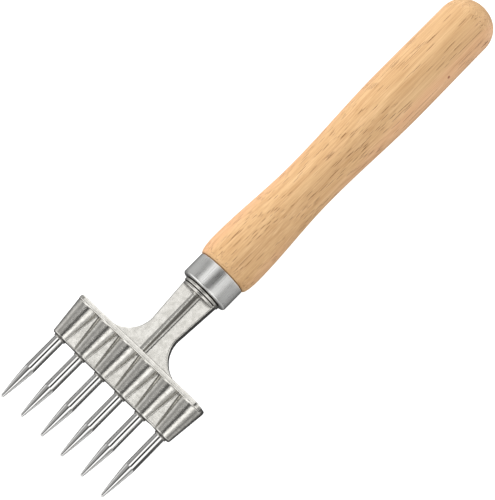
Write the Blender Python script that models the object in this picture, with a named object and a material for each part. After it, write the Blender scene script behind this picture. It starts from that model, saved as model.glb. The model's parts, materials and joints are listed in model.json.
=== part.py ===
"""A six-prong ice chipper: cast head, six pressed-in steel spikes, steel ferrule, turned wooden handle.

Metres, +Z up. The tool lies along X with its spikes towards -X and its butt towards +X, the broad face of the
head up, and the origin at the centre of the whole tool's box, on the long axis.
"""

import math

import bmesh
import bpy

MM = 0.001

# Stations along the tool, measured on X
TIP_X = -115.0 * MM
FRONT_EDGE_X = -85.0 * MM
BACK_EDGE_X = -67.9 * MM
FERRULE_FRONT_X = -36.7 * MM
FERRULE_BACK_X = -26.9 * MM
BUTT_X = 115.0 * MM

# Spikes
SPIKE_COUNT = 6
SPIKE_PITCH = 10.6 * MM
SPIKE_RADIUS = 2.15 * MM
SPIKE_TIP_RADIUS = 0.72 * MM
SPIKE_TIP_ROUND = 0.45 * MM
SPIKE_TAPER_LENGTH = 13.8 * MM
SPIKE_SEAT_DEPTH = 13.0 * MM
SPIKE_SIDES = 24
PRESS_GAP = 0.15 * MM
END_GAP = 0.3 * MM

# Bar of the head: bosses, webs, collars round the spikes, ledge
BOSS_FRONT_RADIUS = 3.8 * MM
BOSS_BACK_RADIUS = 5.5 * MM
SPIKE_COLLAR_RADIUS = 2.55 * MM
SPIKE_COLLAR_LENGTH = 0.7 * MM
WEB_HALF_THICKNESS = 2.4 * MM
WEB_SETBACK = 0.1 * MM
LEDGE_DEPTH = 1.9 * MM
LEDGE_HALF_WIDTH = 32.1 * MM
LEDGE_HALF_HEIGHT = 5.75 * MM
LEDGE_END_RADIUS = 4.8 * MM
LEDGE_EDGE_BEVEL = 0.4 * MM

# Neck plate, its two ribs, and the collar in front of the ferrule
NECK_HALF_THICKNESS = 1.9 * MM
NECK_FILLET_RADIUS = 11.5 * MM
NECK_WAIST_HALF_WIDTH = 6.3 * MM
NECK_END_HALF_WIDTH = 7.7 * MM
RIB_CREST_HALF_WIDTH = 0.5 * MM
RIB_FOOT_HALF_WIDTH = 0.9 * MM
RIB_HEAD_HEIGHT = 4.0 * MM
RIB_COLLAR_HEIGHT = 6.5 * MM
COLLAR_RADIUS = 8.15 * MM
COLLAR_LENGTH = 1.3 * MM
COLLAR_STEP_RADIUS = 7.6 * MM
COLLAR_STEP_LENGTH = 1.2 * MM

# Tang inside the handle
TANG_FRONT_RADIUS = 4.8 * MM
TANG_END_RADIUS = 3.2 * MM
TANG_END_X = 12.0 * MM
TANG_SIDES = 24

# Ferrule
FERRULE_RADIUS = 10.2 * MM
FERRULE_WALL = 0.8 * MM
FERRULE_EDGE_RADIUS = 1.3 * MM
FERRULE_HOLE_RADIUS = 5.6 * MM

# Handle
HANDLE_SHOULDER_RADIUS = 10.3 * MM
HANDLE_SHOULDER_LENGTH = 6.2 * MM
HANDLE_FRONT_SWELL = (-19.3 * MM, 11.67 * MM)
HANDLE_WAIST = (20.0 * MM, 10.0 * MM)
HANDLE_REAR_SWELL = (69.4 * MM, 11.45 * MM)
HANDLE_DOME = (104.4 * MM, 11.28 * MM)
HANDLE_DOME_POWER = 2.15
HANDLE_SIDES = 40
FERRULE_SIDES = 40


def clear_scene():
    for thing in list(bpy.data.objects):
        bpy.data.objects.remove(thing, do_unlink=True)


def make_material(name, colour, roughness, metallic):
    material = bpy.data.materials.new(name)
    material.use_nodes = True
    shader = material.node_tree.nodes["Principled BSDF"]
    shader.inputs["Base Color"].default_value = (*colour, 1.0)
    shader.inputs["Roughness"].default_value = roughness
    shader.inputs["Metallic"].default_value = metallic
    material.diffuse_color = (*colour, 1.0)
    return material


def new_object(name, mesh_builder, material=None):
    """An object whose mesh is what mesh_builder puts in an empty bmesh."""
    shape = bmesh.new()
    mesh_builder(shape)
    bmesh.ops.recalc_face_normals(shape, faces=shape.faces)
    mesh = bpy.data.meshes.new(name)
    shape.to_mesh(mesh)
    shape.free()
    thing = bpy.data.objects.new(name, mesh)
    bpy.context.scene.collection.objects.link(thing)
    if material:
        mesh.materials.append(material)
    return thing


def add_turned(shape, profile, sides, axis_y=0.0):
    """A solid of revolution about the line y = axis_y along X, from (x, radius) points that start and end at radius 0."""
    points = [shape.verts.new((x, axis_y, radius)) for x, radius in profile]
    edges = [shape.edges.new(pair) for pair in zip(points, points[1:])]
    bmesh.ops.spin(
        shape,
        geom=points + edges,
        cent=(0.0, axis_y, 0.0),
        axis=(1.0, 0.0, 0.0),
        angle=2.0 * math.pi,
        steps=sides,
        use_merge=True,
    )
    bmesh.ops.remove_doubles(shape, verts=shape.verts, dist=1e-6)


def add_turned_row(shape, profile):
    """The same turned solid once on each spike's axis."""
    for offset in spike_offsets():
        add_turned(shape, profile, SPIKE_SIDES, offset)


def add_plate(shape, outline, half_thickness):
    """A flat plate between z = -half_thickness and +half_thickness, from (x, y) points round its edge."""
    face = shape.faces.new([shape.verts.new((x, y, -half_thickness)) for x, y in outline])
    grown = bmesh.ops.extrude_face_region(shape, geom=[face])["geom"]
    raised = [part for part in grown if isinstance(part, bmesh.types.BMVert)]
    bmesh.ops.translate(shape, verts=raised, vec=(0.0, 0.0, 2.0 * half_thickness))


def arc(centre, radius, start, end, steps):
    """Points (x, y) along an arc, with its angles in degrees."""
    angles = [math.radians(start + (end - start) * step / steps) for step in range(steps + 1)]
    return [(centre[0] + radius * math.cos(a), centre[1] + radius * math.sin(a)) for a in angles]


def smooth_round(thing, sharp_angle=35.0):
    thing.data.shade_smooth()
    thing.data.set_sharp_from_angle(angle=math.radians(sharp_angle))


def add_boolean(target, shapes, operation):
    """One exact Boolean with all the shapes at once, which stay hidden in a collection of their own."""
    group = bpy.data.collections.new(f"{operation.lower()}_shapes")
    bpy.context.scene.collection.children.link(group)
    for shape in shapes:
        bpy.context.scene.collection.objects.unlink(shape)
        group.objects.link(shape)
        shape.hide_render = True
        shape.display_type = "WIRE"
    modifier = target.modifiers.new(group.name, "BOOLEAN")
    modifier.operation = operation
    modifier.solver = "EXACT"
    modifier.operand_type = "COLLECTION"
    modifier.collection = group


def spike_offsets():
    middle = (SPIKE_COUNT - 1) / 2.0
    return [(middle - index) * SPIKE_PITCH for index in range(SPIKE_COUNT)]


# Head casting


def boss_profile():
    front = FRONT_EDGE_X
    back = BACK_EDGE_X - 0.5 * LEDGE_DEPTH
    return [
        (front - SPIKE_COLLAR_LENGTH, 0.0),
        (front - SPIKE_COLLAR_LENGTH, SPIKE_COLLAR_RADIUS),
        (front, SPIKE_COLLAR_RADIUS),
        (front, BOSS_FRONT_RADIUS),
        (back, BOSS_BACK_RADIUS),
        (back, 0.0),
    ]


def web_outline():
    """The thin webs' plan: a bar that narrows towards its front edge, as the end bosses do."""
    front = FRONT_EDGE_X + WEB_SETBACK
    back = BACK_EDGE_X - 0.4 * LEDGE_DEPTH
    half = spike_offsets()[0]
    return [(front, -half), (back, -half), (back, half), (front, half)]


def add_ledge(shape):
    """The square ledge along the bar's back: a bar along Y whose two ends are rounded like the end bosses."""
    radius = LEDGE_END_RADIUS
    level = LEDGE_HALF_HEIGHT - radius
    right = LEDGE_HALF_WIDTH - radius
    section = [
        *arc((right, level), radius, 90.0, 0.0, 5),
        *arc((right, -level), radius, 0.0, -90.0, 5),
        *arc((-right, -level), radius, -90.0, -180.0, 5),
        *arc((-right, level), radius, 180.0, 90.0, 5),
    ]
    front = BACK_EDGE_X - LEDGE_DEPTH
    face = shape.faces.new([shape.verts.new((front, y, z)) for y, z in section])
    grown = bmesh.ops.extrude_face_region(shape, geom=[face])["geom"]
    moved = [part for part in grown if isinstance(part, bmesh.types.BMVert)]
    bmesh.ops.translate(shape, verts=moved, vec=(LEDGE_DEPTH, 0.0, 0.0))


def neck_outline():
    """The neck plate's plan: two round fillets up from the head, then sides that widen evenly to the collar."""
    fillet_x = BACK_EDGE_X + NECK_FILLET_RADIUS
    fillet_y = NECK_WAIST_HALF_WIDTH + NECK_FILLET_RADIUS
    end_x = FERRULE_FRONT_X - COLLAR_LENGTH + 0.5 * MM
    flare = math.degrees(math.atan2(NECK_END_HALF_WIDTH - NECK_WAIST_HALF_WIDTH, end_x - fillet_x))
    left = arc((fillet_x, fillet_y), NECK_FILLET_RADIUS, 178.0, 270.0 + flare, 14)
    left = [(BACK_EDGE_X - 0.35 * LEDGE_DEPTH, left[0][1]), *left, (end_x, NECK_END_HALF_WIDTH)]
    right = [(x, -y) for x, y in reversed(left)]
    return left + right


def add_ribs(shape):
    """The centre ribs of both faces as one six-sided bar that grows towards the collar."""
    stations = [
        (BACK_EDGE_X - 0.3 * LEDGE_DEPTH, RIB_HEAD_HEIGHT),
        (FERRULE_FRONT_X - 0.5 * COLLAR_LENGTH, RIB_COLLAR_HEIGHT),
    ]
    rings = []
    for x, height in stations:
        half = [(RIB_FOOT_HALF_WIDTH, 0.0), (RIB_CREST_HALF_WIDTH, height), (-RIB_CREST_HALF_WIDTH, height)]
        section = half + [(-y, -z) for y, z in half]
        rings.append([shape.verts.new((x, y, z)) for y, z in section])
    shape.faces.new(rings[0])
    shape.faces.new(rings[1])
    count = len(rings[0])
    for index in range(count):
        following = (index + 1) % count
        corners = (rings[0][index], rings[0][following], rings[1][following], rings[1][index])
        shape.faces.new(corners)
    bmesh.ops.triangulate(shape, faces=shape.faces)


def collar_and_tang_profile():
    back = FERRULE_FRONT_X - END_GAP
    front = back - COLLAR_LENGTH
    step_front = front - COLLAR_STEP_LENGTH
    return [
        (step_front, 0.0),
        (step_front, COLLAR_STEP_RADIUS),
        (front, COLLAR_STEP_RADIUS),
        (front, COLLAR_RADIUS),
        (back, COLLAR_RADIUS),
        (back, TANG_FRONT_RADIUS),
        (TANG_END_X, TANG_END_RADIUS),
        (TANG_END_X, 0.0),
    ]


def bore_profile():
    bottom = FRONT_EDGE_X + SPIKE_SEAT_DEPTH + END_GAP
    mouth = FRONT_EDGE_X - SPIKE_COLLAR_LENGTH - 1.0 * MM
    radius = SPIKE_RADIUS + PRESS_GAP
    return [(mouth, 0.0), (mouth, radius), (bottom, radius), (bottom, 0.0)]


def build_head(material):
    ledge = new_object("head_casting", add_ledge, material)
    bevel = ledge.modifiers.new("edge_bevel", "BEVEL")
    bevel.width = LEDGE_EDGE_BEVEL
    bevel.segments = 2
    bevel.limit_method = "ANGLE"
    bevel.angle_limit = math.radians(50.0)
    shapes = {
        "web_shape": lambda shape: add_plate(shape, web_outline(), WEB_HALF_THICKNESS),
        "neck_shape": lambda shape: add_plate(shape, neck_outline(), NECK_HALF_THICKNESS),
        "rib_shape": add_ribs,
        "tang_shape": lambda shape: add_turned(shape, collar_and_tang_profile(), TANG_SIDES),
        "boss_shapes": lambda shape: add_turned_row(shape, boss_profile()),
    }
    add_boolean(ledge, [new_object(name, builder) for name, builder in shapes.items()], "UNION")
    bores = new_object("bore_shapes", lambda shape: add_turned_row(shape, bore_profile()))
    add_boolean(ledge, [bores], "DIFFERENCE")


# Spikes


def spike_profile():
    """Along +X from the tip at 0: a blunt point, the long taper, and the straight shank."""
    length = FRONT_EDGE_X - TIP_X + SPIKE_SEAT_DEPTH
    return [
        (0.0, 0.0),
        (0.0, SPIKE_TIP_RADIUS - SPIKE_TIP_ROUND),
        (SPIKE_TIP_ROUND, SPIKE_TIP_RADIUS),
        (SPIKE_TAPER_LENGTH, SPIKE_RADIUS),
        (length, SPIKE_RADIUS),
        (length, 0.0),
    ]


def build_spikes(material):
    for number, offset in enumerate(spike_offsets(), 1):
        spike = new_object(
            f"spike_{number}",
            lambda shape: add_turned(shape, spike_profile(), SPIKE_SIDES),
            material,
        )
        spike.location = (TIP_X, offset, 0.0)
        smooth_round(spike)


# Ferrule


def ferrule_profile():
    """The wall's own outline, which never reaches the axis: front hole, round edge, open back."""
    front = FERRULE_FRONT_X
    outer = FERRULE_RADIUS
    inner = outer - FERRULE_WALL
    edge = FERRULE_EDGE_RADIUS
    inside_edge = edge - FERRULE_WALL
    outside = arc((front + edge, outer - edge), edge, 180.0, 90.0, 5)
    inside = arc((front + edge, outer - edge), inside_edge, 90.0, 180.0, 3)
    return [
        (front, FERRULE_HOLE_RADIUS),
        *outside,
        (FERRULE_BACK_X, outer),
        (FERRULE_BACK_X, inner),
        *inside,
        (front + FERRULE_WALL, FERRULE_HOLE_RADIUS),
    ]


def build_ferrule(material):
    profile = ferrule_profile()
    ferrule = new_object(
        "ferrule",
        lambda shape: add_turned(shape, profile + profile[:1], FERRULE_SIDES),
        material,
    )
    smooth_round(ferrule)


# Handle


def eased(start, end, x):
    """The radius at x between two (x, radius) stations, level at both."""
    share = (x - start[0]) / (end[0] - start[0])
    return start[1] + (end[1] - start[1]) * 0.5 * (1.0 - math.cos(math.pi * share))


def stretch(start, end, steps):
    """Profile points from just after start to end."""
    length = end[0] - start[0]
    places = [start[0] + length * step / steps for step in range(1, steps + 1)]
    return [(x, eased(start, end, x)) for x in places]


def tang_bore_radius(x):
    """The tang's radius at x, with clearance."""
    share = (x - FERRULE_FRONT_X) / (TANG_END_X - FERRULE_FRONT_X)
    return TANG_FRONT_RADIUS + (TANG_END_RADIUS - TANG_FRONT_RADIUS) * share + END_GAP


def handle_profile():
    tenon_front = FERRULE_FRONT_X + FERRULE_WALL + END_GAP
    tenon_radius = FERRULE_RADIUS - FERRULE_WALL - PRESS_GAP
    tenon_chamfer = 0.6 * MM
    shoulder_x = FERRULE_BACK_X + END_GAP
    bore_end = TANG_END_X + END_GAP
    rise = HANDLE_FRONT_SWELL[1] - HANDLE_SHOULDER_RADIUS
    swell_x = shoulder_x + HANDLE_SHOULDER_LENGTH
    shoulder = []
    for step in range(7):
        angle = math.radians(90.0 * step / 6)
        x = swell_x - HANDLE_SHOULDER_LENGTH * math.cos(angle)
        shoulder.append((x, HANDLE_SHOULDER_RADIUS + rise * math.sin(angle)))
    dome = []
    dome_length = BUTT_X - HANDLE_DOME[0]
    for step in range(1, 9):
        angle = math.radians(90.0 * step / 8)
        along = math.sin(angle) ** (2.0 / HANDLE_DOME_POWER)
        across = math.cos(angle) ** (2.0 / HANDLE_DOME_POWER) if step < 8 else 0.0
        dome.append((HANDLE_DOME[0] + dome_length * along, HANDLE_DOME[1] * across))
    return [
        (bore_end, 0.0),
        (bore_end, tang_bore_radius(bore_end)),
        (tenon_front, tang_bore_radius(tenon_front)),
        (tenon_front, tenon_radius - tenon_chamfer),
        (tenon_front + tenon_chamfer, tenon_radius),
        (shoulder_x, tenon_radius),
        *shoulder,
        *stretch(HANDLE_FRONT_SWELL, HANDLE_WAIST, 8),
        *stretch(HANDLE_WAIST, HANDLE_REAR_SWELL, 8),
        *stretch(HANDLE_REAR_SWELL, HANDLE_DOME, 4),
        *dome,
    ]


def build_handle(material):
    handle = new_object(
        "handle",
        lambda shape: add_turned(shape, handle_profile(), HANDLE_SIDES),
        material,
    )
    smooth_round(handle)


def main():
    clear_scene()
    cast_alloy = make_material("cast_alloy", (0.62, 0.61, 0.58), 0.38, 1.0)
    polished_steel = make_material("polished_steel", (0.66, 0.66, 0.65), 0.14, 1.0)
    ferrule_steel = make_material("ferrule_steel", (0.58, 0.58, 0.57), 0.27, 1.0)
    pale_wood = make_material("pale_wood", (0.62, 0.39, 0.19), 0.5, 0.0)
    build_head(cast_alloy)
    build_spikes(polished_steel)
    build_ferrule(ferrule_steel)
    build_handle(pale_wood)


main()
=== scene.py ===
"""Looks of the six-prong ice chipper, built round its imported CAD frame.

Metres, +Z up, the tool along X with its spikes towards -X. The head's shapes are worked out
in millimetres.
"""

import functools
import json
import math

import bpy
import numpy as np
from mathutils import Matrix, Vector


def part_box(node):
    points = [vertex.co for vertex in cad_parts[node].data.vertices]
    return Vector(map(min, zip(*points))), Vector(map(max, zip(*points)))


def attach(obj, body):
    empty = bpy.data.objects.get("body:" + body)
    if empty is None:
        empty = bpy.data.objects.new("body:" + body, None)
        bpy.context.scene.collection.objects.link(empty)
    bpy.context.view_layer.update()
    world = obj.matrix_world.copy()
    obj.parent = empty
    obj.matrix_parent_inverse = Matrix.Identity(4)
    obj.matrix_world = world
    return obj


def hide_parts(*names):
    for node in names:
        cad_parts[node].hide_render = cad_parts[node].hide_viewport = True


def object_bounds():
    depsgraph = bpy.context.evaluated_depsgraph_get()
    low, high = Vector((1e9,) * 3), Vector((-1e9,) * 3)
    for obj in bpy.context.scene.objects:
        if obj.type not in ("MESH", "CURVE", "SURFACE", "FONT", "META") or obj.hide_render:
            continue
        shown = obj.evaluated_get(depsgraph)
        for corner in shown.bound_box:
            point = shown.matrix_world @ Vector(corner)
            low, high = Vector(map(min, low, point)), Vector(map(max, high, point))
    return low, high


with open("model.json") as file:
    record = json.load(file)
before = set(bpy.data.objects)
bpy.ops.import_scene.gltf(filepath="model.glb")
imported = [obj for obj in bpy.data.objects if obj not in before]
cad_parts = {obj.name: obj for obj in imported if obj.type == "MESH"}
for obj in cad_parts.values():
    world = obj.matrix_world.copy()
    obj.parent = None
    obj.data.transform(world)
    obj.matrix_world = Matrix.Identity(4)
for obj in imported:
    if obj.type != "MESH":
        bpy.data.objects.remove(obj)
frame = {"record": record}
cad_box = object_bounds()

MM = 0.001
SPIKE_COUNT = 6

# The camera: its distance in metres, its turns towards the spikes, about the tool's length and
# about its own view, the point it looks at from the tool's middle, and its lens in millimetres
CAMERA_DISTANCE = 0.6
CAMERA_TILT = math.radians(8.42)
CAMERA_ROLL = math.radians(17.0)
CAMERA_SPIN = math.radians(45.36)
CAMERA_AIM = Vector((-14.19, -0.86, 0.0)) * MM
CAMERA_LENS = 118.5

# Sizes of the head that the frame's boxes don't hold, in millimetres
BOSS_FRONT_RADIUS = 3.8
BOSS_BACK_RADIUS = 5.5
SPIKE_COLLAR_RADIUS = 2.55
SPIKE_COLLAR_LENGTH = 0.7
SPIKE_COLLAR_EDGE = 0.3
SPIKE_COLLAR_ROOT = 1.0
WANDER_DEPTH = 0.03
WANDER_TURN = 0.9
DENT_DEPTH = 0.3
DENT_WIDTH = 2.2
WEB_HALF_THICKNESS = 2.4
LEDGE_DEPTH = 1.9
LEDGE_END_RADIUS = 3.0
LEDGE_INSET = 0.75
LEDGE_CORNER_RADIUS = 2.3
LEDGE_CORNER_INSET = 0.1
LEDGE_EDGE_RADIUS = 0.4
NECK_HALF_THICKNESS = 1.9
NECK_FILLET_RADIUS = 11.5
NECK_WAIST_HALF_WIDTH = 6.3
NECK_END_HALF_WIDTH = 7.7
NECK_EDGE_RADIUS = 0.35
NECK_END_INSET = 0.5
RIB_CREST_HALF_WIDTH = 0.55
RIB_DRAFT = 0.08
RIB_CREST_ROUND = 0.9
RIB_FILLET = 1.3
RIB_HEAD_HEIGHT = 4.0
RIB_COLLAR_HEIGHT = 6.5
COLLAR_RADIUS = 8.15
COLLAR_STEP_RADIUS = 7.6
COLLAR_RING_LENGTH = 1.15
COLLAR_LENGTH = 2.5
COLLAR_NECK_LENGTH = 0.6
COLLAR_RING_EDGE = 0.45
COLLAR_STEP_EDGE = 0.5
COLLAR_GROOVE = 0.1
COLLAR_CORE_INSET = 0.4
COLLAR_CORE_EDGE = 0.1
FERRULE_GAP = 0.3
SPIKE_SEAT_DEPTH = 13.0
SPIKE_SEAT_PLAY = 0.3
SPIKE_SEAT_CLEARANCE = 0.05
TANG_OVERLAP = 1.0
TANG_FRONT_RADIUS = 4.8
TANG_END_RADIUS = 3.2

# How far the head's shapes run into each other where they meet, in millimetres
FRONT_EDGE_BLEND = 0.8
CREASE_BLEND = 0.15
NUB_BLEND = 0.3
LEDGE_BLEND = 0.25
NECK_BLEND = 0.3
RING_BLEND = 0.15
COLLAR_RIB_BLEND = 0.9
COLLAR_BLEND = 0.2

# The head's mesh and its faint unevenness, in millimetres: size of a cell, height of the bumps,
# and widths of the broad and the small bumps
HEAD_CELL = 0.22
HEAD_MARGIN = 0.5
CAST_ROUGHNESS = 0.018
BROAD_BUMP = 1.7
SMALL_BUMP = 0.75


# Meshes

# Length of the table of random values, and the large primes that spread the cells over it
NOISE_TABLE = 4096
HASH_FACTORS = (73856093, 19349663, 83492791)


def new_piece(name, verts, faces, material, replaced):
    """A shown piece from points and faces in metres.

    It rides on the tool's one body and stands for a CAD node.
    """
    mesh = bpy.data.meshes.new(name)
    mesh.from_pydata(verts, [], faces)
    mesh.validate()
    mesh.shade_smooth()
    mesh.materials.append(material)
    piece = bpy.data.objects.new(name, mesh)
    bpy.context.scene.collection.objects.link(piece)
    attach(piece, "root")
    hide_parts(replaced)
    return piece


def turned(profile, sides, axis_y=0.0, closed=False):
    """Points and faces of a solid of revolution about a line along X, from its (x, radius) points.

    An open profile starts and ends on the axis, and a closed one is a ring's own section.
    """
    verts = []
    rings = []
    for x, radius in profile:
        count = 1 if radius == 0.0 else sides
        rings.append(range(len(verts), len(verts) + count))
        for step in range(count):
            angle = 2.0 * math.pi * step / sides
            verts.append((x, axis_y + radius * math.sin(angle), radius * math.cos(angle)))
    faces = []
    pairs = list(zip(rings, rings[1:]))
    if closed:
        pairs.append((rings[-1], rings[0]))
    for front, back in pairs:
        for step in range(sides):
            after = (step + 1) % sides
            ends = [front[step % len(front)], front[after % len(front)]]
            ends += [back[after % len(back)], back[step % len(back)]]
            faces.append(tuple(dict.fromkeys(ends)))
    return verts, faces


def arc(centre_x, centre_r, radius, start, end, steps):
    """Profile points along an arc, with its angles in degrees from +X."""
    angles = np.radians(np.linspace(start, end, steps + 1))
    return [(centre_x + radius * math.cos(a), centre_r + radius * math.sin(a)) for a in angles]


def value_noise(points, size, seed):
    """Smooth random values from -1 to 1, the same on every run, with features of the given size."""
    table = np.random.RandomState(seed).uniform(-1.0, 1.0, NOISE_TABLE)
    place = points / size
    cell = np.floor(place).astype(np.int64)
    share = place - cell
    share = share * share * (3.0 - 2.0 * share)
    total = np.zeros(len(points))
    for corner in range(8):
        step = np.array([corner & 1, corner >> 1 & 1, corner >> 2 & 1])
        key = (cell + step) @ np.array(HASH_FACTORS)
        weight = np.prod(np.where(step, share, 1.0 - share), axis=1)
        total += weight * table[key % NOISE_TABLE]
    return total


# Signed distances, all in millimetres and negative inside


def join(a, b, blend):
    """The union of two shapes with a soft fillet between them."""
    near = np.maximum(blend - np.abs(a - b), 0.0) / blend
    return np.minimum(a, b) - near * near * blend * 0.25


def cut(a, b, blend):
    """What two shapes share, with a soft outer edge."""
    return -join(-a, -b, blend)


def rounded_box(offsets, radius):
    """The distance to a box with round edges, from the distances to its sides."""
    shifted = [offset + radius for offset in offsets]
    outside = np.sqrt(sum(np.maximum(s, 0.0) ** 2 for s in shifted))
    inside = np.minimum(functools.reduce(np.maximum, shifted), 0.0)
    return outside + inside - radius


def lathe_box(x, rho, start, end, radius, edge):
    """A disc or ring step from start to end along X."""
    return rounded_box([rho - radius, np.abs(x - 0.5 * (start + end)) - 0.5 * (end - start)], edge)


class Head:
    """The cast head's own places, from the boxes and mounts of the frame, in millimetres."""

    def __init__(self):
        low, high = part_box("head_casting")
        mounts = {mount["name"]: mount["pos_m"] for mount in frame["record"]["mounts"]}
        spikes = [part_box(f"spike_{number}") for number in range(1, SPIKE_COUNT + 1)]
        self.axes = [(box[0].y + box[1].y) / 2.0 / MM for box in spikes]
        self.front = low.x / MM + SPIKE_COLLAR_LENGTH
        self.back = mounts["shoulder_left"][0] / MM
        self.half_width = high.y / MM
        self.half_height = mounts["ledge_face"][2] / MM
        self.collar_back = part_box("ferrule")[0].x / MM - FERRULE_GAP
        self.spike_radius = (spikes[0][1].z - spikes[0][0].z) / 2.0 / MM
        self.tang_end = high.x / MM

    def bar(self, x, y, z):
        """The tapered bosses, the webs between them and the collars round the spikes.

        The front edge is nearly straight, with a shallow dent in the last web.
        """
        slope = (BOSS_BACK_RADIUS - BOSS_FRONT_RADIUS) / (self.back - LEDGE_DEPTH - self.front)
        lean = math.cos(math.atan(slope))
        radius = BOSS_FRONT_RADIUS + slope * (x - self.front)
        shape = np.maximum(np.abs(z) - WEB_HALF_THICKNESS, np.abs(y) - self.axes[0])
        for axis in self.axes:
            boss = (np.hypot(y - axis, z) - radius) * lean
            shape = join(shape, boss, CREASE_BLEND)
        last_web = 0.5 * (self.axes[-1] + self.axes[-2])
        wander = WANDER_DEPTH * np.sin(WANDER_TURN * y)
        wander = wander + DENT_DEPTH * np.exp(-(((y - last_web) / DENT_WIDTH) ** 2))
        shape = cut(shape, self.front + wander - x, FRONT_EDGE_BLEND)
        nub_front = self.front - SPIKE_COLLAR_LENGTH
        nub_back = self.front + SPIKE_COLLAR_ROOT
        for axis in self.axes:
            rho = np.hypot(y - axis, z)
            nub = lathe_box(x, rho, nub_front, nub_back, SPIKE_COLLAR_RADIUS, SPIKE_COLLAR_EDGE)
            shape = join(shape, nub, NUB_BLEND)
        return np.maximum(shape, x - (self.back - 0.5 * LEDGE_DEPTH))

    def ledge(self, x, y, z):
        """The square ledge along the back, with rounded ends."""
        end = self.half_width - LEDGE_INSET
        section = rounded_box([np.abs(y) - end, np.abs(z) - self.half_height], LEDGE_END_RADIUS)
        depth = np.abs(x - self.back + 0.5 * LEDGE_DEPTH) - 0.5 * LEDGE_DEPTH
        return rounded_box([section, depth], LEDGE_EDGE_RADIUS)

    def corners(self, x, y):
        """The plan of the bar's back, with its two round corners."""
        outward = np.abs(y) - self.half_width + LEDGE_CORNER_INSET
        return rounded_box([outward, x - self.back], LEDGE_CORNER_RADIUS)

    def neck(self, x, y, z):
        """The flat neck with its two round fillets, and its centre ribs."""
        fillet_x = self.back + NECK_FILLET_RADIUS
        fillet_y = NECK_WAIST_HALF_WIDTH + NECK_FILLET_RADIUS
        side = np.abs(y)
        flare = (NECK_END_HALF_WIDTH - NECK_WAIST_HALF_WIDTH) / (self.collar_back - fillet_x)
        straight = side - NECK_WAIST_HALF_WIDTH - flare * (x - fillet_x)
        curved = NECK_FILLET_RADIUS - np.hypot(x - fillet_x, side - fillet_y)
        edge = np.where(x < fillet_x, np.maximum(curved, side - fillet_y), straight)
        neck_front = self.back - 0.5 * LEDGE_DEPTH
        ends = np.maximum(neck_front - x, x - self.collar_back + NECK_END_INSET)
        plate = np.maximum(cut(edge, np.abs(z) - NECK_HALF_THICKNESS, NECK_EDGE_RADIUS), ends)
        share = (x - self.back) / (self.collar_back - self.back)
        height = RIB_HEAD_HEIGHT + (RIB_COLLAR_HEIGHT - RIB_HEAD_HEIGHT) * share
        flank = side - RIB_CREST_HALF_WIDTH - RIB_DRAFT * (height - np.abs(z))
        rib = np.maximum(cut(flank, np.abs(z) - height, RIB_CREST_ROUND), ends)
        return plate, rib

    def collar(self, x, y, z):
        """Two round steps in front of the ferrule, with a narrow groove between them."""
        rho = np.hypot(y, z)
        back = self.collar_back
        ring_front = back - COLLAR_RING_LENGTH
        ring = lathe_box(x, rho, ring_front, back, COLLAR_RADIUS, COLLAR_RING_EDGE)
        step_front = back - COLLAR_LENGTH
        step_back = ring_front - COLLAR_GROOVE
        step = lathe_box(x, rho, step_front, step_back, COLLAR_STEP_RADIUS, COLLAR_STEP_EDGE)
        core_front = ring_front - COLLAR_NECK_LENGTH
        core_back = back - COLLAR_CORE_INSET
        core_radius = COLLAR_STEP_RADIUS - COLLAR_CORE_INSET
        core = lathe_box(x, rho, core_front, core_back, core_radius, COLLAR_CORE_EDGE)
        return np.minimum(join(ring, core, RING_BLEND), step)

    def bores(self, x, y, z):
        """The blind holes that the spikes are pressed into."""
        end = self.front + SPIKE_SEAT_DEPTH + SPIKE_SEAT_PLAY
        radius = self.spike_radius + SPIKE_SEAT_CLEARANCE
        holes = [np.maximum(np.hypot(y - axis, z) - radius, x - end) for axis in self.axes]
        return functools.reduce(np.minimum, holes)

    def field(self, x, y, z):
        """The whole casting in front of the ferrule."""
        plate, rib = self.neck(x, y, z)
        body = join(self.bar(x, y, z), self.ledge(x, y, z), LEDGE_BLEND)
        body = np.maximum(body, self.corners(x, y))
        body = join(body, join(plate, rib, RIB_FILLET), NECK_BLEND)
        body = join(body, join(self.collar(x, y, z), rib, COLLAR_RIB_BLEND), COLLAR_BLEND)
        return np.maximum(body, -self.bores(x, y, z))


def cell_corners():
    """The eight corners of a grid cell, as steps of 0 or 1 along each axis."""
    return np.array([[c >> 2 & 1, c >> 1 & 1, c & 1] for c in range(8)])


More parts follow.
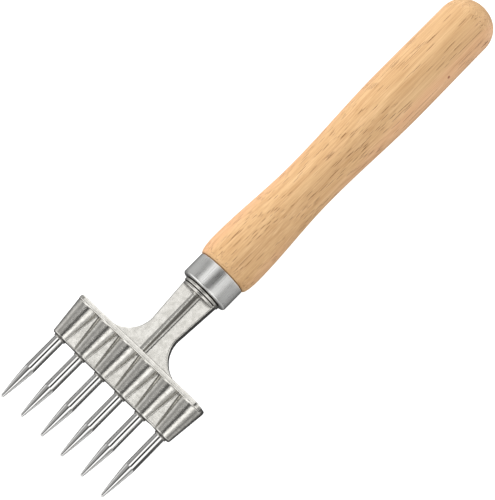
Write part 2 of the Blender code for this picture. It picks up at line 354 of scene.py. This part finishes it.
def surface_net(field, low, high, cell):
    """Points and quads of a field's zero surface, one point for each grid cell that it crosses."""
    counts = np.ceil((high - low) / cell).astype(int) + 1
    lines = [(low[a] + cell * np.arange(counts[a])).astype(np.float32) for a in range(3)]
    values = field(lines[0][:, None, None], lines[1][None, :, None], lines[2][None, None, :])
    inside = values < 0.0
    corners = cell_corners()
    spans = tuple(counts - 1)
    held = np.zeros(spans, np.int8)
    for corner in corners:
        window = tuple(slice(start, start + span) for start, span in zip(corner, spans))
        held += inside[window]
    cells = np.argwhere((held > 0) & (held < 8))
    number = np.full(spans, -1, np.int32)
    number[tuple(cells.T)] = np.arange(len(cells))
    at_corner = np.stack([values[tuple((cells + c).T)] for c in corners], axis=1)
    total = np.zeros((len(cells), 3))
    hits = np.zeros(len(cells))
    for first in range(8):
        for second in range(first + 1, 8):
            if np.abs(corners[first] - corners[second]).sum() != 1:
                continue
            a = at_corner[:, first]
            b = at_corner[:, second]
            crossed = (a < 0.0) != (b < 0.0)
            share = np.where(crossed, a / np.where(crossed, a - b, 1.0), 0.0)
            place = corners[first] + share[:, None] * (corners[second] - corners[first])
            total += place * crossed[:, None]
            hits += crossed
    points = low + cell * (cells + total / hits[:, None])
    quads = []
    for axis in range(3):
        side = (axis + 1) % 3
        other = (axis + 2) % 3
        step = np.eye(3, dtype=int)
        ends = [slice(0, None)] * 3
        starts = list(ends)
        starts[axis] = slice(0, -1)
        ends[axis] = slice(1, None)
        crossing = np.argwhere(inside[tuple(starts)] != inside[tuple(ends)])
        crossing = crossing[(crossing[:, side] > 0) & (crossing[:, other] > 0)]
        leaving = inside[tuple(crossing.T)]
        beside = crossing - step[side]
        around = [crossing, beside, beside - step[other], crossing - step[other]]
        ring = np.stack([number[tuple(cell_place.T)] for cell_place in around], axis=1)
        quads.append(np.where(leaving[:, None], ring, ring[:, ::-1]))
    return points, np.concatenate(quads)


def slopes(field, points, step=0.02):
    """The field's value and its gradient at some points."""
    gradient = np.zeros_like(points)
    for axis in range(3):
        shift = np.zeros(3)
        shift[axis] = step
        ahead = field(*(points + shift).T)
        behind = field(*(points - shift).T)
        gradient[:, axis] = (ahead - behind) / (2.0 * step)
    return field(*points.T), gradient


def cast_head():
    """The head's own places, and its points and faces in metres, as uneven as a casting."""
    head = Head()
    reach_y = head.half_width + HEAD_MARGIN
    reach_z = COLLAR_RADIUS + HEAD_MARGIN
    low = np.array([head.front - SPIKE_COLLAR_LENGTH - HEAD_MARGIN, -reach_y, -reach_z])
    high = np.array([head.collar_back + HEAD_MARGIN, reach_y, reach_z])
    points, quads = surface_net(head.field, low, high, HEAD_CELL)
    # Short steps along the slope bring each point onto the surface
    for _ in range(3):
        value, gradient = slopes(head.field, points)
        size = np.maximum((gradient**2).sum(axis=1), 0.25)
        points -= gradient * np.clip(value / size, -0.1, 0.1)[:, None]
    normal = gradient / np.linalg.norm(gradient, axis=1)[:, None].clip(0.2)
    uneven = value_noise(points, BROAD_BUMP, 3) + 0.6 * value_noise(points, SMALL_BUMP, 4)
    points += normal * (CAST_ROUGHNESS * uneven)[:, None]
    verts = [tuple(point) for point in (points * MM).tolist()]
    faces = [tuple(quad) for quad in quads.tolist()]
    return head, verts, faces


# Materials


def add_node(tree, kind, inputs=None, **settings):
    """A shader node whose inputs are values or other nodes' outputs."""
    made = tree.nodes.new(kind)
    for name, value in settings.items():
        setattr(made, name, value)
    for socket, value in (inputs or {}).items():
        if isinstance(value, bpy.types.NodeSocket):
            tree.links.new(value, made.inputs[socket])
        else:
            made.inputs[socket].default_value = value
    return made


def calculate(tree, operation, first, second=0.0, third=0.0):
    inputs = {0: first, 1: second, 2: third}
    return add_node(tree, "ShaderNodeMath", inputs, operation=operation).outputs[0]


def remap(tree, value, low, high, to_low=0.0, to_high=1.0, smooth=False):
    inputs = {"Value": value, "From Min": low, "From Max": high, "To Min": to_low, "To Max": to_high}
    kind = "SMOOTHSTEP" if smooth else "LINEAR"
    return add_node(tree, "ShaderNodeMapRange", inputs, interpolation_type=kind).outputs["Result"]


def stretched(tree, scale, turn=(0.0, 0.0, 0.0)):
    """Object coordinates, turned, and with a scale of their own along each axis."""
    place = add_node(tree, "ShaderNodeTexCoord").outputs["Object"]
    inputs = {"Vector": place, "Scale": scale, "Rotation": turn}
    return add_node(tree, "ShaderNodeMapping", inputs).outputs["Vector"]


def noise(tree, vector, detail=2.0, roughness=0.5):
    inputs = {"Vector": vector, "Scale": 1.0, "Detail": detail, "Roughness": roughness}
    return add_node(tree, "ShaderNodeTexNoise", inputs).outputs["Fac"]


def mix_colour(tree, share, first, second):
    """A share of the second colour over the first. A colour mix node's sockets go by number."""
    inputs = {0: share, 6: first, 7: second}
    return add_node(tree, "ShaderNodeMix", inputs, data_type="RGBA", clamp_factor=True).outputs[2]


def length_of(tree, first, second):
    """The length of a line from its two parts at right angles."""
    squares = [calculate(tree, "POWER", part, 2.0) for part in (first, second)]
    return calculate(tree, "SQRT", calculate(tree, "ADD", *squares))


def new_material(name):
    """A new material, its node tree and its main shader."""
    material = bpy.data.materials.new(name)
    material.use_nodes = True
    return material, material.node_tree, material.node_tree.nodes["Principled BSDF"]


def bump(tree, height, distance, strength, normal=None):
    inputs = {"Height": height, "Distance": distance, "Strength": strength}
    if normal:
        inputs["Normal"] = normal
    return add_node(tree, "ShaderNodeBump", inputs).outputs["Normal"]


def finish_material(tree, shader, colour, rough, normal, metallic=0.0):
    tree.links.new(colour, shader.inputs["Base Color"])
    tree.links.new(rough, shader.inputs["Roughness"])
    tree.links.new(normal, shader.inputs["Normal"])
    shader.inputs["Metallic"].default_value = metallic


# The casting's colours, the reach of the painted shade in its creases and corners, and the width of the
# painted shade along its front rim
CAST_DULL = (0.585, 0.57, 0.53, 1.0)
CAST_BRIGHT = (0.70, 0.685, 0.645, 1.0)
CAST_PIT = (0.30, 0.29, 0.27, 1.0)
CAST_CREASE_SHADE = (0.06, 0.056, 0.05, 1.0)
CAST_OUTLINE_SHADE = (0.05, 0.047, 0.045, 1.0)
CREASE_SHADE_REACH = 0.9 * MM
SHADE_RIM_WIDTH = 0.6 * MM


def cast_alloy(front):
    """Tumbled light casting: mottled patches and fine pits, with painted shade in the creases and
    corners.

    Painted shade darkens the upright sides and the front rim, whose place is in metres.
    """
    material, tree, shader = new_material("cast_alloy_fine")
    patches = noise(tree, stretched(tree, (450.0, 450.0, 450.0)), detail=3.0)
    grain = noise(tree, stretched(tree, (2600.0, 2600.0, 2600.0)), detail=2.0)
    pits = noise(tree, stretched(tree, (5200.0, 5200.0, 5200.0)), detail=1.0)
    colour = mix_colour(tree, remap(tree, patches, 0.35, 0.68), CAST_DULL, CAST_BRIGHT)
    colour = mix_colour(tree, remap(tree, grain, 0.30, 0.42, 0.22, 0.0), colour, CAST_PIT)
    patch_rough = remap(tree, patches, 0.3, 0.7, 0.19, 0.13)
    rough = calculate(tree, "ADD", patch_rough, remap(tree, grain, 0.3, 0.7, 0.04, -0.01))
    # Painted shade: the corners and creases that the occlusion finds are darkened almost to black
    reach = {"Distance": CREASE_SHADE_REACH}
    shelter = add_node(tree, "ShaderNodeAmbientOcclusion", reach, samples=8, only_local=True)
    crease_shade = remap(tree, shelter.outputs["AO"], 0.88, 0.52, 0.0, 0.95)
    colour = mix_colour(tree, crease_shade, colour, CAST_CREASE_SHADE)
    # Painted shade: faces that stand upright, where the sides turn away from the flat top, are darkened
    facing = add_node(tree, "ShaderNodeTexCoord").outputs["Normal"]
    upward = add_node(tree, "ShaderNodeSeparateXYZ", {0: facing}).outputs["Z"]
    level = calculate(tree, "ABSOLUTE", upward)
    upright = remap(tree, level, 0.45, 0.18, 0.0, 0.8, smooth=True)
    colour = mix_colour(tree, upright, colour, CAST_OUTLINE_SHADE)
    # Painted shade: a thin dark line along the bar's front edge
    place = add_node(tree, "ShaderNodeTexCoord").outputs["Object"]
    along = add_node(tree, "ShaderNodeSeparateXYZ", {0: place}).outputs["X"]
    behind = remap(tree, along, front + SHADE_RIM_WIDTH, front + 0.5 * SHADE_RIM_WIDTH, 0.0, 0.85)
    ahead = remap(tree, along, front - SHADE_RIM_WIDTH, front - 0.1 * SHADE_RIM_WIDTH, 0.3, 1.0)
    colour = mix_colour(tree, calculate(tree, "MULTIPLY", behind, ahead), colour, CAST_OUTLINE_SHADE)
    normal = bump(tree, grain, 0.12 * MM, 0.22)
    normal = bump(tree, pits, 0.04 * MM, 0.25, normal)
    finish_material(tree, shader, colour, rough, normal, 1.0)
    return material


STEEL_BRIGHT = (0.80, 0.80, 0.79, 1.0)
STEEL_TARNISH = (0.72, 0.71, 0.69, 1.0)
STEEL_MARK = (0.42, 0.41, 0.40, 1.0)


def polished_steel():
    """Bright steel with faint lengthwise grinding marks and a little tarnish."""
    material, tree, shader = new_material("polished_steel_fine")
    marks = noise(tree, stretched(tree, (70.0, 7000.0, 7000.0)), detail=2.0)
    haze = noise(tree, stretched(tree, (250.0, 600.0, 600.0)), detail=3.0)
    colour = mix_colour(tree, remap(tree, haze, 0.35, 0.7), STEEL_BRIGHT, STEEL_TARNISH)
    colour = mix_colour(tree, remap(tree, marks, 0.25, 0.45, 0.25, 0.0), colour, STEEL_MARK)
    haze_rough = remap(tree, haze, 0.3, 0.7, 0.05, 0.09)
    rough = calculate(tree, "ADD", haze_rough, remap(tree, marks, 0.3, 0.7, 0.02, -0.02))
    finish_material(tree, shader, colour, rough, bump(tree, marks, 0.02 * MM, 0.25), 1.0)
    return material


FERRULE_DARK = (0.62, 0.62, 0.605, 1.0)
FERRULE_LIGHT = (0.75, 0.75, 0.735, 1.0)


def ferrule_steel():
    """Drawn satin steel: fine lines along the tube."""
    material, tree, shader = new_material("ferrule_steel_fine")
    lines = noise(tree, stretched(tree, (90.0, 3800.0, 3800.0)), detail=3.0, roughness=0.6)
    haze = noise(tree, stretched(tree, (180.0, 320.0, 320.0)), detail=3.0)
    colour = mix_colour(tree, remap(tree, lines, 0.3, 0.7), FERRULE_DARK, FERRULE_LIGHT)
    haze_rough = remap(tree, haze, 0.3, 0.7, 0.25, 0.31)
    rough = calculate(tree, "ADD", haze_rough, remap(tree, lines, 0.3, 0.7, 0.04, -0.03))
    finish_material(tree, shader, colour, rough, bump(tree, lines, 0.03 * MM, 0.3), 1.0)
    return material


# Wood: the tree's middle lies off the handle, a little askew, and its lines sway a little
PITH_Y = 46.0 * MM
PITH_Z = -38.0 * MM
GRAIN_TURN = (0.0, math.radians(1.2), math.radians(-1.8))
RING_WIDTH = 3.4 * MM
SWAY = 2.0 * MM
KNOT_PLACE = (84.5 * MM, -10.64 * MM, 4.1 * MM)
KNOT_RADIUS = 0.85 * MM
WOOD_TAN = (0.52, 0.310, 0.143, 1.0)
WOOD_STRAW = (0.60, 0.382, 0.190, 1.0)
WOOD_PINK = (0.68, 0.385, 0.215, 1.0)
WOOD_BROWN = (0.38, 0.200, 0.080, 1.0)
WOOD_LIGHT = (0.76, 0.520, 0.300, 1.0)
WOOD_PORE = (0.12, 0.036, 0.010, 1.0)
WOOD_KNOT = (0.22, 0.055, 0.025, 1.0)

# Pores: cells per metre along each axis, share of the cells that hold one, and half width in cells
PORE_LAYERS = (
    ((40.0, 1900.0, 1900.0), 0.62, 0.19),
    ((85.0, 2600.0, 2600.0), 0.50, 0.25),
    ((20.0, 1700.0, 1700.0), 0.30, 0.16),
)


def wood_pores(tree):
    """Short dark lines along the grain, in loose bands of more and fewer."""
    band = noise(tree, stretched(tree, (25.0, 300.0, 300.0), GRAIN_TURN), detail=1.0)
    pores = []
    for scale, share, width in PORE_LAYERS:
        inputs = {"Vector": stretched(tree, scale, GRAIN_TURN), "Scale": 1.0, "Randomness": 1.0}
        cells = add_node(tree, "ShaderNodeTexVoronoi", inputs, feature="F1")
        chance = add_node(tree, "ShaderNodeSeparateXYZ", {0: cells.outputs["Color"]}).outputs["X"]
        limit = remap(tree, band, 0.35, 0.65, 0.3 * share, 1.7 * share)
        chosen = calculate(tree, "LESS_THAN", chance, limit)
        core = remap(tree, cells.outputs["Distance"], width, width * 0.7, 0.0, 1.0, smooth=True)
        pores.append(calculate(tree, "MULTIPLY", core, chosen))
    return functools.reduce(lambda one, other: calculate(tree, "MAXIMUM", one, other), pores)


def pale_wood():
    """Pale hardwood: growth rings, fibre streaks, pores, pink and straw patches, and one pin knot."""
    material, tree, shader = new_material("pale_wood_fine")
    straight = stretched(tree, (1.0, 1.0, 1.0), GRAIN_TURN)
    waves = noise(tree, stretched(tree, (14.0, 40.0, 40.0)), detail=2.0)
    sway = remap(tree, waves, 0.2, 0.8, -SWAY, SWAY)
    parts = add_node(tree, "ShaderNodeSeparateXYZ", {0: straight}).outputs
    from_pith_y = calculate(tree, "SUBTRACT", parts["Y"], PITH_Y)
    from_pith_z = calculate(tree, "SUBTRACT", parts["Z"], PITH_Z)
    reach = calculate(tree, "ADD", length_of(tree, from_pith_y, from_pith_z), sway)
    ring = calculate(tree, "FRACT", calculate(tree, "DIVIDE", reach, RING_WIDTH))
    from_late = calculate(tree, "ABSOLUTE", calculate(tree, "SUBTRACT", ring, 0.62))
    late = remap(tree, from_late, 0.0, 0.38, 1.0, 0.0, smooth=True)
    fibre = noise(tree, stretched(tree, (60.0, 2600.0, 2600.0), GRAIN_TURN), detail=3.0, roughness=0.65)
    streak = noise(tree, stretched(tree, (14.0, 520.0, 520.0), GRAIN_TURN), detail=3.0)
    tint = noise(tree, stretched(tree, (16.0, 110.0, 110.0), GRAIN_TURN), detail=2.0)
    across = calculate(tree, "ADD", parts["Y"], sway)
    left_pink = remap(tree, across, 4.0 * MM, 9.0 * MM, 0.0, 0.75, smooth=True)
    right_pink = remap(tree, across, -9.0 * MM, -11.2 * MM, 0.0, 0.6, smooth=True)
    pore = wood_pores(tree)
    place = add_node(tree, "ShaderNodeTexCoord").outputs["Object"]
    away = add_node(tree, "ShaderNodeVectorMath", {0: place, 1: KNOT_PLACE}, operation="DISTANCE")
    knot = remap(tree, away.outputs["Value"], KNOT_RADIUS, KNOT_RADIUS * 0.4, 0.0, 0.85, smooth=True)
    colour = mix_colour(tree, remap(tree, streak, 0.32, 0.68), WOOD_TAN, WOOD_STRAW)
    colour = mix_colour(tree, remap(tree, tint, 0.55, 0.75, 0.0, 0.35), colour, WOOD_PINK)
    colour = mix_colour(tree, left_pink, colour, WOOD_PINK)
    colour = mix_colour(tree, right_pink, colour, WOOD_PINK)
    colour = mix_colour(tree, calculate(tree, "MULTIPLY", late, 0.14), colour, WOOD_BROWN)
    colour = mix_colour(tree, remap(tree, fibre, 0.50, 0.30, 0.0, 0.60), colour, WOOD_BROWN)
    colour = mix_colour(tree, remap(tree, fibre, 0.53, 0.72, 0.0, 0.50), colour, WOOD_LIGHT)
    colour = mix_colour(tree, calculate(tree, "MULTIPLY", pore, 0.9), colour, WOOD_PORE)
    colour = mix_colour(tree, knot, colour, WOOD_KNOT)
    fibre_rough = remap(tree, fibre, 0.3, 0.7, 0.56, 0.46)
    rough = calculate(tree, "ADD", fibre_rough, calculate(tree, "MULTIPLY", pore, 0.25))
    normal = bump(tree, fibre, 0.08 * MM, 0.22)
    normal = bump(tree, calculate(tree, "SUBTRACT", 1.0, pore), 0.15 * MM, 0.5, normal)
    finish_material(tree, shader, colour, rough, normal)
    shader.inputs["Specular IOR Level"].default_value = 0.35
    return material


# Pieces


def build_head():
    """The cast head and the tang that runs back from it into the handle."""
    head, verts, faces = cast_head()
    tang_front = (head.collar_back - TANG_OVERLAP) * MM
    tang_end = head.tang_end * MM
    tang_profile = [
        (tang_front, 0.0),
        (tang_front, TANG_FRONT_RADIUS * MM),
        (tang_end, TANG_END_RADIUS * MM),
        (tang_end, 0.0),
    ]
    tang_verts, tang_faces = turned(tang_profile, 48)
    faces += [tuple(index + len(verts) for index in face) for face in tang_faces]
    verts += tang_verts
    new_piece("head_fine", verts, faces, cast_alloy(head.front * MM), "head_casting")


# A spike: the tip's radius and length, the taper's length and bulge, the chamfer at its back, and
# how far from the shank's ends its extra rings lie
SPIKE_TIP_RADIUS = 0.65 * MM
SPIKE_NOSE = 0.5 * MM
SPIKE_TAPER = 13.9 * MM
SPIKE_BELLY = 0.28
SPIKE_CHAMFER = 0.3 * MM
SPIKE_END_RING = 0.8 * MM
NOSE_STEPS = 6
TAPER_STEPS = 32


def spike_profile(low_x, high_x, radius):
    """A blunt round tip, a slightly bulging taper, and the straight shank.

    An extra ring close to each end of the shank keeps the smooth shading straight between them.
    """
    points = [(low_x, 0.0)]
    for step in range(1, NOSE_STEPS + 1):
        angle = math.radians(90.0 / NOSE_STEPS * step)
        x = low_x + SPIKE_NOSE * (1.0 - math.cos(angle))
        points.append((x, SPIKE_TIP_RADIUS * math.sin(angle)))
    start_x = points[-1][0]
    for step in range(1, TAPER_STEPS + 1):
        share = step / TAPER_STEPS
        rise = share + SPIKE_BELLY * share * (1.0 - share)
        r = SPIKE_TIP_RADIUS + (radius - SPIKE_TIP_RADIUS) * rise
        points.append((start_x + SPIKE_TAPER * share, r))
    points.append((points[-1][0] + SPIKE_END_RING, radius))
    points.append((high_x - SPIKE_END_RING, radius))
    points.append((high_x - SPIKE_CHAMFER, radius))
    points.append((high_x, radius - SPIKE_CHAMFER))
    points.append((high_x, 0.0))
    return points


def build_spikes():
    material = polished_steel()
    for number in range(1, SPIKE_COUNT + 1):
        node = f"spike_{number}"
        low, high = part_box(node)
        radius = (high.z - low.z) / 2.0
        verts, faces = turned(spike_profile(low.x, high.x, radius), 64, (low.y + high.y) / 2.0)
        new_piece(f"{node}_fine", verts, faces, material, node)


# The ferrule: its wall, the round of its front edge, the round of its back rim, and its front hole
FERRULE_WALL = 0.8 * MM
FERRULE_EDGE = 1.0 * MM
FERRULE_RIM = 0.3 * MM
FERRULE_HOLE = 5.6 * MM


def build_ferrule():
    """A drawn cap with a round front edge, open at the back, where its rim is eased."""
    low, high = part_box("ferrule")
    radius = high.z
    edge_x = low.x + FERRULE_EDGE
    edge_r = radius - FERRULE_EDGE
    rim_x = high.x - FERRULE_RIM
    profile = [(low.x, FERRULE_HOLE), (low.x, (FERRULE_HOLE + edge_r) / 2.0)]
    profile += arc(edge_x, edge_r, FERRULE_EDGE, 180.0, 90.0, 14)
    profile += [(edge_x + (rim_x - edge_x) * step / 6.0, radius) for step in range(1, 6)]
    profile += arc(rim_x, radius - FERRULE_RIM, FERRULE_RIM, 90.0, 0.0, 6)
    profile += [(high.x, radius - FERRULE_WALL)]
    profile += arc(edge_x, edge_r, FERRULE_EDGE - FERRULE_WALL, 90.0, 180.0, 6)
    profile += [(low.x + FERRULE_WALL, FERRULE_HOLE)]
    verts, faces = turned(profile, 160, closed=True)
    new_piece("ferrule_fine", verts, faces, ferrule_steel(), "ferrule")


# The handle's outline: distance from its front shoulder, and radius, in millimetres. The dome
# runs on from its own place to the butt.
SHOULDER = (0.0, 10.3)
FRONT_SWELL = (7.3, 11.67)
WAIST = (46.6, 10.0)
REAR_SWELL = (96.0, 11.45)
DOME = (131.0, 11.28)
DOME_POWER = 2.15
SWELL_STEPS = 12
DOME_STEPS = 32

# The handle's inside and its gap behind the ferrule
HANDLE_GAP = 0.3 * MM
BORE_PLAY = 0.3 * MM
BORE_END_RADIUS = 3.5 * MM
BORE_FRONT_RADIUS = 5.1 * MM
TENON_RADIUS = 9.25 * MM


def eased(start, end, x):
    """The radius at x, where the outline eases from one place and radius to the next."""
    share = (x - start[0]) / (end[0] - start[0])
    return start[1] + (end[1] - start[1]) * 0.5 * (1.0 - math.cos(math.pi * share))


def handle_profile(low_x, high_x, shoulder_x):
    """The bore, the tenon inside the ferrule, the shoulder, both swells and the waist, and the butt."""
    bore_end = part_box("head_casting")[1].x + BORE_PLAY
    points = [(bore_end, 0.0), (bore_end, BORE_END_RADIUS), (low_x, BORE_FRONT_RADIUS)]
    points += [(low_x, TENON_RADIUS), (shoulder_x, TENON_RADIUS)]
    for step in range(SWELL_STEPS + 1):
        angle = math.radians(90.0 * step / SWELL_STEPS)
        x = FRONT_SWELL[0] * (1.0 - math.cos(angle))
        radius = SHOULDER[1] + (FRONT_SWELL[1] - SHOULDER[1]) * math.sin(angle)
        points.append((shoulder_x + x * MM, radius * MM))
    stretches = ((FRONT_SWELL, WAIST, 40), (WAIST, REAR_SWELL, 50), (REAR_SWELL, DOME, 30))
    for start, end, steps in stretches:
        for step in range(1, steps + 1):
            x = start[0] + (end[0] - start[0]) * step / steps
            points.append((shoulder_x + x * MM, eased(start, end, x) * MM))
    dome_x = shoulder_x + DOME[0] * MM
    for step in range(1, DOME_STEPS + 1):
        angle = math.radians(90.0 * step / DOME_STEPS)
        along = math.sin(angle) ** (2.0 / DOME_POWER)
        across = math.cos(angle) ** (2.0 / DOME_POWER) if step < DOME_STEPS else 0.0
        points.append((dome_x + (high_x - dome_x) * along, DOME[1] * MM * across))
    return points


def build_handle():
    low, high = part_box("handle")
    shoulder_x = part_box("ferrule")[1].x + HANDLE_GAP
    verts, faces = turned(handle_profile(low.x, high.x, shoulder_x), 144)
    piece = new_piece("handle_fine", verts, faces, pale_wood(), "handle")
    piece.data.set_sharp_from_angle(angle=math.radians(50.0))


# Studio


def ramp(tree, share, stops):
    """A colour ramp of greys from (angle in degrees, brightness) stops."""
    made = add_node(tree, "ShaderNodeValToRGB", {0: share})
    elements = made.color_ramp.elements
    while len(elements) > 1:
        elements.remove(elements[-1])
    for index, (angle, grey) in enumerate(stops):
        place = angle / 360.0 + 0.5
        element = elements[0] if index == 0 else elements.new(place)
        element.position = place
        element.color = (grey, grey, grey, 1.0)
    return made.outputs["Color"]


# The soft boxes round the tool: angle about its long axis in degrees, from the camera's side and
# + towards spike 1, and brightness. Each set holds for directions that lean by their own share
# along the tool, from far in front to far behind.
FAR_FRONT_STOPS = (
    (-178, 0.14), (-150, 0.16), (-110, 0.35), (-80, 0.40), (-66, 0.95), (-24, 0.95), (-14, 0.30),
    (26, 0.35), (36, 1.00), (100, 0.95), (115, 0.40), (140, 0.20), (178, 0.14),
)
FRONT_STOPS = (
    (-178, 0.04), (-150, 0.20), (-125, 0.45), (-90, 0.45), (-78, 0.30), (-66, 0.10), (-56, 0.30),
    (-44, 0.24), (-34, 1.00), (-12, 1.00), (-4, 0.20), (4, 0.03), (24, 0.10), (34, 0.28), (72, 0.26),
    (84, 0.60), (100, 0.60), (118, 0.34), (150, 0.15), (178, 0.04),
)
ROUND_STOPS = (
    (-178, 0.03), (-130, 0.10), (-105, 0.04), (-70, 0.05), (-58, 0.25), (-50, 1.00), (-21, 0.95),
    (-13, 0.02), (14, 0.02), (22, 0.95), (42, 0.95), (50, 0.25), (62, 0.14), (86, 0.30), (105, 0.24),
    (125, 0.16), (178, 0.03),
)
BACK_STOPS = (
    (-178, 0.04), (-145, 0.08), (-130, 0.24), (-110, 0.30), (-90, 0.42), (-58, 0.32), (-48, 0.50),
    (-22, 0.50), (-12, 0.08), (12, 0.08), (20, 0.45), (34, 0.78), (50, 0.80), (58, 0.28), (66, 0.20),
    (100, 0.40), (132, 0.40), (152, 0.12), (178, 0.04),
)
FAR_BACK_STOPS = (
    (-178, 0.10), (-150, 0.20), (-135, 1.00), (-20, 1.00), (-10, 0.30), (10, 0.30), (24, 1.00),
    (110, 1.00), (130, 0.50), (178, 0.10),
)

# Where each other set begins and ends to take over: the direction's own part along the tool
SKY_BLENDS = (
    (FRONT_STOPS, -0.035, -0.085),
    (FAR_FRONT_STOPS, -0.28, -0.42),
    (BACK_STOPS, 0.025, 0.065),
    (FAR_BACK_STOPS, 0.25, 0.45),
)
SKY_STRENGTH = 1.6
WHITE = (1.0, 1.0, 1.0, 1.0)


def build_world():
    """Soft boxes that light and mirror in the tool, behind a plain white that only the camera sees."""
    world = bpy.data.worlds.new("soft_studio")
    world.use_nodes = True
    tree = world.node_tree
    tree.nodes.clear()
    direction = add_node(tree, "ShaderNodeTexCoord").outputs["Generated"]
    parts = add_node(tree, "ShaderNodeSeparateXYZ", {0: direction}).outputs
    turn = calculate(tree, "ARCTAN2", parts["Y"], parts["Z"])
    share = calculate(tree, "MULTIPLY_ADD", turn, 0.5 / math.pi, 0.5 + 0.5 * CAMERA_ROLL / math.pi)
    share = calculate(tree, "FRACT", share)
    sky = ramp(tree, share, ROUND_STOPS)
    for stops, start, end in SKY_BLENDS:
        lean = remap(tree, parts["X"], start, end, smooth=True)
        sky = mix_colour(tree, lean, sky, ramp(tree, share, stops))
    light = add_node(tree, "ShaderNodeBackground", {"Color": sky, "Strength": SKY_STRENGTH}).outputs[0]
    plain = add_node(tree, "ShaderNodeBackground", {"Color": WHITE, "Strength": 1.0}).outputs[0]
    seen = add_node(tree, "ShaderNodeLightPath").outputs["Is Camera Ray"]
    shown = add_node(tree, "ShaderNodeMixShader", {0: seen, 1: light, 2: plain}).outputs[0]
    add_node(tree, "ShaderNodeOutputWorld", {"Surface": shown})
    bpy.context.scene.world = world


def add_area_light(name, place, size, energy):
    """A soft light aimed at the tool's middle, which the camera and the bright metal don't see."""
    data = bpy.data.lights.new(name, "AREA")
    data.shape = "RECTANGLE"
    data.size, data.size_y = size
    data.energy = energy
    light = bpy.data.objects.new(name, data)
    light.location = place
    light.rotation_euler = (-Vector(place)).to_track_quat("-Z", "Y").to_euler()
    light.visible_camera = False
    light.visible_glossy = False
    bpy.context.scene.collection.objects.link(light)


FLOOR_HALF = 6.0
FLOOR_GAP = 0.02 * MM


def build_floor():
    """A wide pale floor just under the tool, which throws no light back on the tool."""
    level = cad_box[0].z - FLOOR_GAP
    signs = ((-1.0, -1.0), (1.0, -1.0), (1.0, 1.0), (-1.0, 1.0))
    mesh = bpy.data.meshes.new("floor")
    mesh.from_pydata([(x * FLOOR_HALF, y * FLOOR_HALF, level) for x, y in signs], [], [(0, 1, 2, 3)])
    material, _, shader = new_material("pale_floor")
    shader.inputs["Base Color"].default_value = (0.30, 0.30, 0.30, 1.0)
    shader.inputs["Roughness"].default_value = 0.9
    shader.inputs["Specular IOR Level"].default_value = 0.0
    shader.inputs["Emission Color"].default_value = WHITE
    shader.inputs["Emission Strength"].default_value = 1.0
    mesh.materials.append(material)
    floor = bpy.data.objects.new("floor", mesh)
    bpy.context.scene.collection.objects.link(floor)
    floor.visible_glossy = False
    floor.visible_diffuse = False


def build_camera():
    """The camera looks down on the broad face, turned a little to the tool's side and its spikes."""
    lean = math.cos(CAMERA_TILT)
    aside = -math.sin(CAMERA_ROLL) * lean
    toward = Vector((-math.sin(CAMERA_TILT), aside, math.cos(CAMERA_ROLL) * lean))
    along = (Vector((1.0, 0.0, 0.0)) - toward * toward.x).normalized()
    across = toward.cross(along)
    right = along * math.cos(CAMERA_SPIN) - across * math.sin(CAMERA_SPIN)
    up = along * math.sin(CAMERA_SPIN) + across * math.cos(CAMERA_SPIN)
    data = bpy.data.cameras.new("camera")
    data.sensor_fit = "HORIZONTAL"
    data.sensor_width = 36.0
    data.lens = CAMERA_LENS
    data.clip_start = 0.01
    data.clip_end = 20.0
    camera = bpy.data.objects.new("camera", data)
    place = (cad_box[0] + cad_box[1]) / 2.0 + CAMERA_AIM + toward * CAMERA_DISTANCE
    turn = Matrix((right, up, toward)).transposed()
    camera.matrix_world = Matrix.Translation(place) @ turn.to_4x4()
    bpy.context.scene.collection.objects.link(camera)
    bpy.context.scene.camera = camera


build_head()
build_spikes()
build_ferrule()
build_handle()
build_world()
build_floor()
add_area_light("key_light", place=(0.1, 0.85, 0.38), size=(0.6, 0.4), energy=6.5)
add_area_light("fill_light", place=(-0.05, -0.35, 0.85), size=(0.8, 0.8), energy=2.8)
build_camera()
bpy.context.scene.view_settings.view_transform = "Standard"
